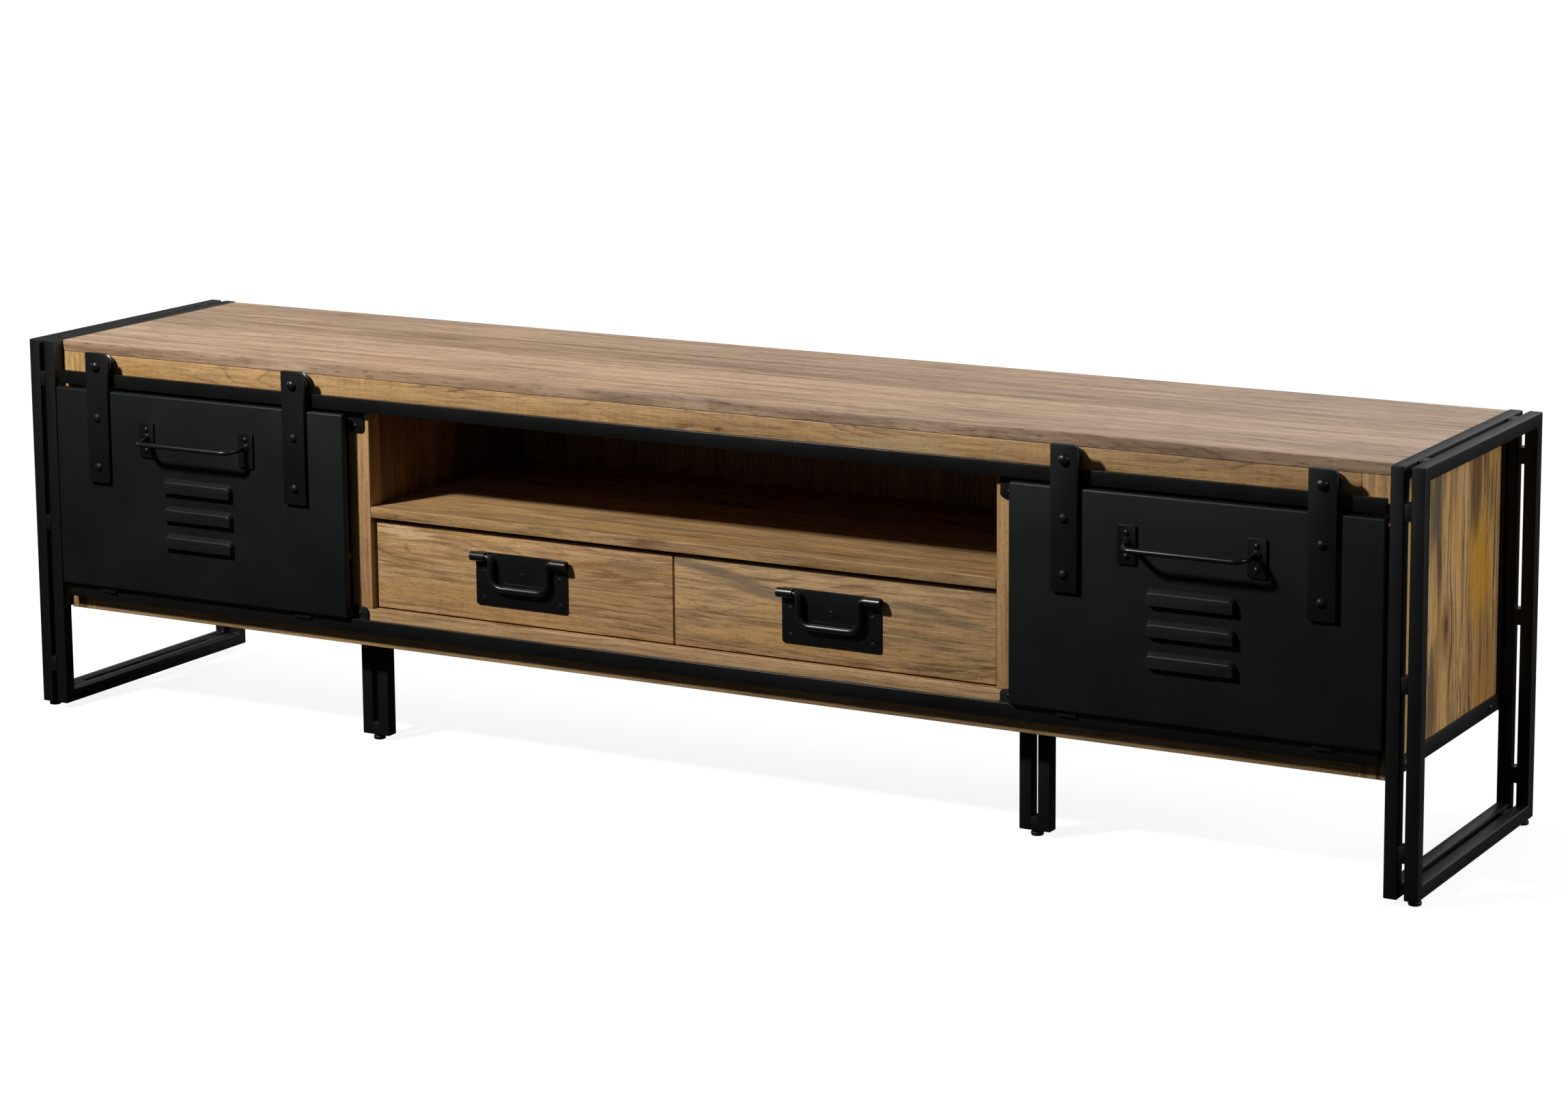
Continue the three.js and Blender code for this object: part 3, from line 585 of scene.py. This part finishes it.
SHEET = 0.0012
LOUVRE_WIDE, LOUVRE_HIGH, LOUVRE_OUT = 0.114, 0.0195, 0.0075
LOUVRE_TOPS = (0.3405, 0.303, 0.2655)
LUG_SPREAD, LUG_HALF = 0.162, 0.013
# Smooth satin powder coat: flat sheets stay evenly dark and only the pressed edges draw a soft line.
door_coat = coated_steel("smooth_satin_black_coat", "#0d0e0e", 0.52, 1.2, 0.03, 0.3)


def louvre(middle, front, top):
    """A pressed louvre: a plate with rounded upper corners whose face is drawn out and narrowed."""
    hood = cut_block("louvre", (middle - LOUVRE_WIDE / 2, front - LOUVRE_OUT, top - LOUVRE_HIGH),
                     (middle + LOUVRE_WIDE / 2, front + 0.0008, top))
    round_corners(hood, 0.007, lambda mid: mid.z > top - 0.002, 8)
    start_edit(hood, "faces", lambda face: face.normal.y < -0.9)
    bpy.ops.transform.resize(value=(0.965, 1, 0.745), center_override=(middle, front, top - LOUVRE_HIGH))
    end_edit()
    start_edit(hood, "faces", lambda face: face.normal.y > 0.9 or face.normal.z < -0.9)
    bpy.ops.mesh.delete(type="FACE")
    bpy.ops.object.mode_set(mode="OBJECT")
    ease_edges(hood, 0.0012, 3, 25)
    wall = hood.modifiers.new("sheet", "SOLIDIFY")
    wall.thickness = SHEET
    wall.offset = -1
    bpy.ops.object.modifier_apply(modifier=wall.name)
    return hood


low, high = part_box("left_door_panel")
front = high.y - 0.012
foot = low.z + 0.008
middle = (low.x + high.x) / 2
tray = cut_block("tray", (low.x, front, foot), high)
ease_edges(tray, 0.0028, 4)
start_edit(tray, "faces", lambda face: face.normal.y > 0.9)
bpy.ops.mesh.delete(type="FACE")
bpy.ops.object.mode_set(mode="OBJECT")
start_edit(tray, "faces", lambda face: face.calc_center_median().y > high.y - 0.0026
           and abs(face.normal.y) > 0.02)
bpy.ops.mesh.delete(type="FACE")
bpy.ops.object.mode_set(mode="OBJECT")
wall = tray.modifiers.new("sheet", "SOLIDIFY")
wall.thickness = SHEET
wall.offset = -1
bpy.context.view_layer.objects.active = tray
bpy.ops.object.modifier_apply(modifier=wall.name)
top_louvre = louvre(middle, front, LOUVRE_TOPS[0])
louvres = [top_louvre]
for top in LOUVRE_TOPS:
    punch = cut_block(
        "punch", (middle - LOUVRE_WIDE / 2 + 0.006, front - 0.004, top - LOUVRE_HIGH + 0.0005),
        (middle + LOUVRE_WIDE / 2 - 0.006, front + 0.004, top - 0.007))
    opening = tray.modifiers.new("louvre_opening", "BOOLEAN")
    opening.operation = "DIFFERENCE"
    opening.object = punch
    bpy.context.view_layer.objects.active = tray
    bpy.ops.object.modifier_apply(modifier=opening.name)
    bpy.data.objects.remove(punch)
    if top != LOUVRE_TOPS[0]:
        louvres.append(copy_to(top_louvre, "louvre", (0, 0, top - LOUVRE_TOPS[0])))
lugs = [eased_block("lug", (x - LUG_HALF, low.y + 0.0123, low.z),
                    (x + LUG_HALF, low.y + 0.0155, foot + 0.004), 0.0008, 2)
        for x in (middle - LUG_SPREAD, middle + LUG_SPREAD)]
door = gather("left_door_sheet", [tray, *louvres, *lugs])
other_door = copy_to(door, "right_door_sheet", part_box("right_door_panel")[0] - low)
for word, sheet in (("left", door), ("right", other_door)):
    fit(sheet, f"{word}_door", "door_steel", door_coat, f"{word}_door_panel")


# --- Hanger straps, wheels and axles ------------------------------------------------------------
# Flat bars bolted to each door with dome-head bolts. A grooved steel wheel behind each strap's
# top runs on the track. The outer top corner of every strap is rounded off.

# Oiled turned steel for the wheels, dark with a tight sheen. Brushed lacquer on bolts and pulls: the
# shiniest black here, with a clear thin highlight along every rounded edge.
turned_steel = coated_steel("oiled_turned_steel", "#161617", 0.34, 1.0, 0.03, 0.5)
fitting_lacquer = coated_steel("semi_gloss_black_lacquer", "#0d0d0d", 0.34, 1.1, 0.03, 0.5)
STRAP_BOLTS = (0.4135, 0.346)
first_low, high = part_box("left_outer_strap")
centre = (first_low.x + high.x) / 2
strap = cut_block("strap", first_low, high)
round_corners(strap, 0.0055, lambda mid: mid.z > high.z - 0.001 and mid.x > centre)
round_corners(strap, 0.002, lambda mid: mid.z < first_low.z + 0.001 or mid.x < centre, 3)
ease_edges(strap, 0.0006, 2)
bolts = [dome("bolt", (centre, first_low.y, z), 0.006, 0.0038, steps=24) for z in STRAP_BOLTS]
strap = gather("hanger_strap", [strap, *bolts])

low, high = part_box("left_outer_wheel")
axle_x, axle_z = (low.x + high.x) / 2, (low.z + high.z) / 2
rim = [(0.0043, 0), (0.0085, 0), (0.009, 0.0006), (0.0105, 0.0006), (0.011, 0), (0.0144, 0),
       (0.015, 0.0006), (0.015, 0.0019), (0.0144, 0.0025), (0.0124, 0.0031), (0.012, 0.0036),
       (0.012, 0.0084), (0.0124, 0.0089), (0.0144, 0.0095), (0.015, 0.0101), (0.015, 0.0114),
       (0.0144, 0.012), (0.011, 0.012), (0.0105, 0.0114), (0.009, 0.0114), (0.0085, 0.012),
       (0.0043, 0.012), (0.0043, 0)]
wheel = turned("grooved_wheel", rim, (axle_x, high.y, axle_z), steps=48)

axle_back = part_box("left_outer_axle_bolt")[1].y
bolt_outline = [(0, 0), (0.0055, 0), (0.0065, 0.0006), (0.0065, 0.003), (0.004, 0.003),
                (0.004, 0.0153), (0.006, 0.0153), (0.006, 0.0203), (0.004, 0.0203),
                (0.004, 0.0256), (0.0068, 0.0256), (0.007, 0.0266), (0.0058, 0.0288),
                (0.0034, 0.0302), (0, 0.0306)]
axle = turned("axle", bolt_outline, (axle_x, axle_back, axle_z), steps=28)

for word, side in SIDES:
    for place in ("outer", "inner"):
        node = f"{word}_{place}"
        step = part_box(f"{node}_strap")[0] - first_low
        fit(copy_to(strap, f"{node}_hanger_strap", step), f"{word}_door", "door_steel", powder_coat,
            f"{node}_strap")
        fit(copy_to(wheel, f"{node}_grooved_wheel", step), f"{node}_wheel_body", "wheel_steel",
            turned_steel, f"{node}_wheel")
        fit(copy_to(axle, f"{node}_axle", step), f"{word}_door", "fitting_steel", fitting_lacquer,
            f"{node}_axle_bolt")
for pattern in (strap, wheel, axle):
    bpy.data.objects.remove(pattern)


# --- Door handles -------------------------------------------------------------------------------
# A bent 7 mm rod riveted through two small plates, brushed with the same lacquer as the bolts.
# The grip sits a little lower than its roots, with an easy bend at each end.


def bent_rod(name, corners, bends, radius, sides=20):
    """A rod pushed along its run and bent round each corner, as on a bench bender."""
    corners = [Vector(corner) for corner in corners]
    heading = (corners[1] - corners[0]).normalized()
    bpy.ops.object.select_all(action="DESELECT")
    bpy.ops.mesh.primitive_circle_add(vertices=sides, radius=radius, fill_type="NGON", location=corners[0],
                                      rotation=heading.to_track_quat("Z", "Y").to_euler())
    rod = bpy.context.object
    rod.name = rod.data.name = name
    bpy.ops.object.transform_apply(location=True, rotation=True, scale=True)
    bpy.ops.object.mode_set(mode="EDIT")
    bpy.ops.mesh.select_mode(type="FACE")
    bpy.ops.mesh.select_all(action="SELECT")
    here = corners[0]
    for before, corner, after, bend in zip(corners, corners[1:], corners[2:], bends):
        coming, going = (corner - before).normalized(), (after - corner).normalized()
        turn = coming.angle(going)
        axis = coming.cross(going).normalized()
        enter = corner - coming * bend * math.tan(turn / 2)
        bpy.ops.mesh.extrude_region_move(TRANSFORM_OT_translate={"value": enter - here})
        bpy.ops.mesh.spin(steps=7, angle=-turn, center=enter + axis.cross(coming) * bend, axis=axis)
        here = corner + going * bend * math.tan(turn / 2)
    bpy.ops.mesh.extrude_region_move(TRANSFORM_OT_translate={"value": corners[-1] - here})
    end_edit()
    return ease_edges(rod, 0.0006, 2, 60)


HANDLE_SPREAD = 0.164
HANDLE_PLATE, HANDLE_HALF_WIDE, HANDLE_HALF_HIGH = 0.0025, 0.012, 0.0235
ROOT_RISE = 0.0035
ROOT_OUTLINE = [(0, -0.001), (0.0062, -0.001), (0.0062, 0.001), (0.0045, 0.0028), (0, 0.0028)]
RIVET_PLACES = (-0.0135, 0.0145)
GRIP_RADIUS = 0.0035
low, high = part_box("left_door_handle")
middle = (low.x + high.x) / 2
height = (low.z + high.z) / 2
back = high.y
plates, rivets, roots = [], [], []
for end in (-1, 1):
    x = middle + end * HANDLE_SPREAD / 2
    plate = cut_block("plate", (x - HANDLE_HALF_WIDE, back - HANDLE_PLATE, height - HANDLE_HALF_HIGH),
                      (x + HANDLE_HALF_WIDE, back, height + HANDLE_HALF_HIGH))
    round_corners(plate, 0.0015, lambda mid: True, 3)
    plates.append(ease_edges(plate, 0.0005, 2))
    rivets += [dome("rivet", (x, back - HANDLE_PLATE, height + z), 0.0038, 0.0026) for z in RIVET_PLACES]
    roots.append(turned("root", ROOT_OUTLINE, (x, back - HANDLE_PLATE, height + ROOT_RISE), steps=20))
grip_y = low.y + GRIP_RADIUS
grip_z = height + 0.0005
start, stop = middle - HANDLE_SPREAD / 2, middle + HANDLE_SPREAD / 2
rod = bent_rod("grip", [(start, back - 0.002, height + ROOT_RISE), (start + 0.0085, grip_y, grip_z),
                        (stop - 0.0085, grip_y, grip_z), (stop, back - 0.002, height + ROOT_RISE)],
               (0.013, 0.013), GRIP_RADIUS)
pull = gather("left_door_pull", [*plates, *rivets, *roots, rod])
other_pull = copy_to(pull, "right_door_pull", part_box("right_door_handle")[0] - low)
for word, handle in (("left", pull), ("right", other_pull)):
    fit(handle, f"{word}_door", "door_steel", fitting_lacquer, f"{word}_door_handle")


# --- Drawers ------------------------------------------------------------------------------------
# Two plain wooden boxes with solid mango fronts, chosen for their figure: the left one arched,
# the right one with grey mineral streaks running down to the right.

mango_left_front = mango(
    "mango_left_drawer_front", "XZY", 21, (250.0,), light="#cba273", dark="#8a643c", ring_mm=8, pith_mm=9,
    oval=(-345.0, 275.0, 0.0016), wander_mm=15, greying=0.15, gilding=0.3, lines=0.5, ripple=0.4,
    fine=2.1, bands=0.35,
    marks=((-405, 296, 110, 22, -0.1, "#dcbd90", 0.6), (-120, 282, 120, 9, 0.12, "#95602f", 0.6),
           (-60, 285, 110, 14, 0.0, "#7c6a50", 0.5), (-330, 218, 300, 34, 0.0, "#b98a52", 0.45),
           (-105, 236, 160, 26, 0.05, "#b78b5a", 0.4)))
mango_right_front = mango(
    "mango_right_drawer_front", "XZY", 24, (239.0,), light="#c7a171", dark="#7f6040", grey="#6a5c47",
    ring_mm=8, pith_mm=24, tilt=0.09, wander_mm=18, greying=0.4, gilding=0.2, lines=0.4, ripple=0.4,
    fine=2.1,
    marks=((70, 290, 190, 15, -0.17, "#6a5d49", 0.75), (150, 268, 230, 12, -0.15, "#75664f", 0.7),
           (345, 276, 100, 12, -0.1, "#66573f", 0.65), (400, 262, 80, 10, 0.0, "#6d5d45", 0.55),
           (210, 216, 420, 34, 0.0, "#cd9f66", 0.6), (320, 298, 160, 12, 0.0, "#cfaa78", 0.5)))
mango_box_side = mango("mango_drawer_box", "YZX", 14, light="#c9a574", dark="#a07c54", greying=0.15)
for word, side in SIDES:
    board(f"{word}_drawer_face", f"{word}_drawer_front",
          mango_left_front if side < 0 else mango_right_front, f"{word}_drawer", edge=0.0012)
    for node in ("inner_side", "outer_side", "back", "bottom"):
        board(f"{word}_box_{node}", f"{word}_drawer_{node}", mango_box_side, f"{word}_drawer",
              "drawer_box_wood", 0.0007)


# --- Drawer pulls -------------------------------------------------------------------------------
# A sheet-steel backplate with two rolled barrels at its top edge, and a drop bail of 9 mm rod
# whose ends turn in them. Five countersunk screws, coated over with the same black lacquer.

PLATE_THICK = 0.0017
SCREW_PLACES = ((-0.0575, -0.027), (0.0, -0.027), (0.0575, -0.027), (-0.0575, -0.0605), (0.0575, -0.0605))
screw_outline = [(0, -0.0005), (0.0036, -0.0005), (0.0036, 0.0001), (0.0030, 0.0004), (0.0014, 0.0004),
                 (0.0010, -0.0004), (0, -0.0004)]
low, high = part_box("left_pull_plate")
middle = (low.x + high.x) / 2
back = high.y
top = low.z + 0.07
plate = cut_block("plate", (middle - 0.0695, back - PLATE_THICK, low.z), (middle + 0.0695, back, top))
round_corners(plate, 0.0035, lambda mid: True, 5)
ease_edges(plate, 0.0004, 2)
axis_y = low.y + 0.0063
axis_z = 0.2775
barrel_outline = [(0.0047, 0), (0.0058, 0), (0.0063, 0.0005), (0.0063, 0.0225), (0.0058, 0.023),
                  (0.0047, 0.023), (0.0047, 0)]
barrels = []
for end in (-1, 1):
    barrels.append(turned("barrel", barrel_outline, (middle + end * 0.0495, axis_y, axis_z),
                          "left" if end < 0 else "right", 28))
    tongue_x = middle + end * 0.0593
    barrels.append(eased_block("tongue", (tongue_x - 0.0098, axis_y + 0.002, axis_z - 0.0005),
                               (tongue_x + 0.0098, back - 0.0002, top - 0.0005), 0.0006, 2))
screws = [turned("screw", screw_outline, (middle + x, back - PLATE_THICK, top + z), steps=20)
          for x, z in SCREW_PLACES]
backplate = gather("left_pull_backplate", [plate, *barrels, *screws])

end_x, leg_x = 0.0712, 0.0423
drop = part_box("left_bail")[0].z + 0.0045
bail = bent_rod("left_drop_bail_rod", [
    (middle - end_x, axis_y, axis_z), (middle - leg_x, axis_y, axis_z), (middle - leg_x, axis_y, drop),
    (middle + leg_x, axis_y, drop), (middle + leg_x, axis_y, axis_z), (middle + end_x, axis_y, axis_z)],
    (0.007, 0.015, 0.015, 0.007), 0.0045, 24)

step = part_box("right_pull_plate")[0] - low
other_backplate = copy_to(backplate, "right_pull_backplate", step)
other_bail = copy_to(bail, "right_drop_bail_rod", step)
for word, plate, rod in (("left", backplate, bail), ("right", other_backplate, other_bail)):
    fit(plate, f"{word}_drawer", "fitting_steel", fitting_lacquer, f"{word}_pull_plate")
    fit(rod, f"{word}_drop_bail", "fitting_steel", fitting_lacquer, f"{word}_bail")


# --- Studio -------------------------------------------------------------------------------------
# A pale floor inside a white backdrop, a soft key light from the front left, and four broad weak
# lights from the right, back, left and front. The floor and backdrop glow a little, so that they
# stay white, but light nothing. The camera is pitched down, with a small shift.

pale = bpy.data.materials.new("pale_floor")
pale.use_nodes = True
pale_shader = pale.node_tree.nodes["Principled BSDF"]
pale_shader.inputs["Base Color"].default_value = linear("#777776")
pale_shader.inputs["Roughness"].default_value = 0.9
pale_shader.inputs["Emission Color"].default_value = linear("#ffffff")
pale_shader.inputs["Emission Strength"].default_value = 0.88
bpy.ops.object.select_all(action="DESELECT")
bpy.ops.mesh.primitive_plane_add(size=80, location=(0, 0, -0.0005))
floor = bpy.context.object
floor.name = "studio_floor"
floor.data.materials.append(pale)
floor.visible_glossy = False
floor.visible_diffuse = False

white = bpy.data.materials.new("white_backdrop")
white.use_nodes = True
white_shader = white.node_tree.nodes["Principled BSDF"]
white_shader.inputs["Base Color"].default_value = linear("#000000")
white_shader.inputs["Emission Color"].default_value = linear("#ffffff")
white_shader.inputs["Emission Strength"].default_value = 1.0
bpy.ops.object.select_all(action="DESELECT")
bpy.ops.mesh.primitive_uv_sphere_add(segments=48, ring_count=24, radius=38, location=(0, 0, 0))
backdrop = bpy.context.object
backdrop.name = "studio_backdrop"
backdrop.data.materials.append(white)
backdrop.visible_glossy = False
backdrop.visible_diffuse = False
backdrop.visible_shadow = False

KEY_PLACE = Vector((-1.324, -2.24, 2.45))
key = bpy.data.lights.new("key_softbox", "AREA")
key.shape = "DISK"
key.size = 0.3
key.energy = 112
key_holder = bpy.data.objects.new("key_softbox", key)
key_holder.location = KEY_PLACE
key_holder.rotation_euler = (KEY_PLACE - Vector((0.1, 0, 0.3))).to_track_quat("Z", "Y").to_euler()
bpy.context.scene.collection.objects.link(key_holder)

# Name, where it shines from, strength, and spread in degrees.
LIGHTS = (("right_light", (1.0, 0.25, 0.4), 1.9, 30), ("back_light", (0.1, 0.85, 0.55), 1.1, 55),
          ("left_light", (-1.0, 0.4, 0.12), 1.6, 40), ("front_fill", (0.2, -1.0, 0.5), 0.04, 60))
for name, source, strength, spread in LIGHTS:
    lamp = bpy.data.lights.new(name, "SUN")
    lamp.energy = strength
    lamp.angle = math.radians(spread)
    holder = bpy.data.objects.new(name, lamp)
    holder.rotation_euler = Vector(source).to_track_quat("Z", "Y").to_euler()
    bpy.context.scene.collection.objects.link(holder)

world = bpy.data.worlds.new("studio")
world.use_nodes = True
world.node_tree.nodes["Background"].inputs["Color"].default_value = linear("#d8dbe0")
world.node_tree.nodes["Background"].inputs["Strength"].default_value = 0.035
bpy.context.scene.world = world
bpy.context.scene.view_settings.view_transform = "Standard"

lens = bpy.data.cameras.new("camera")
lens.sensor_width = 36
lens.lens = 90.31
lens.shift_x = -0.0512
lens.shift_y = -0.12
lens.clip_end = 200
camera = bpy.data.objects.new("camera", lens)
camera.location = (2.5049, -4.2645, 1.3581)
camera.rotation_euler = [math.radians(angle) for angle in (80.399, 0.244, 28.455)]
bpy.context.scene.collection.objects.link(camera)
bpy.context.scene.camera = camera
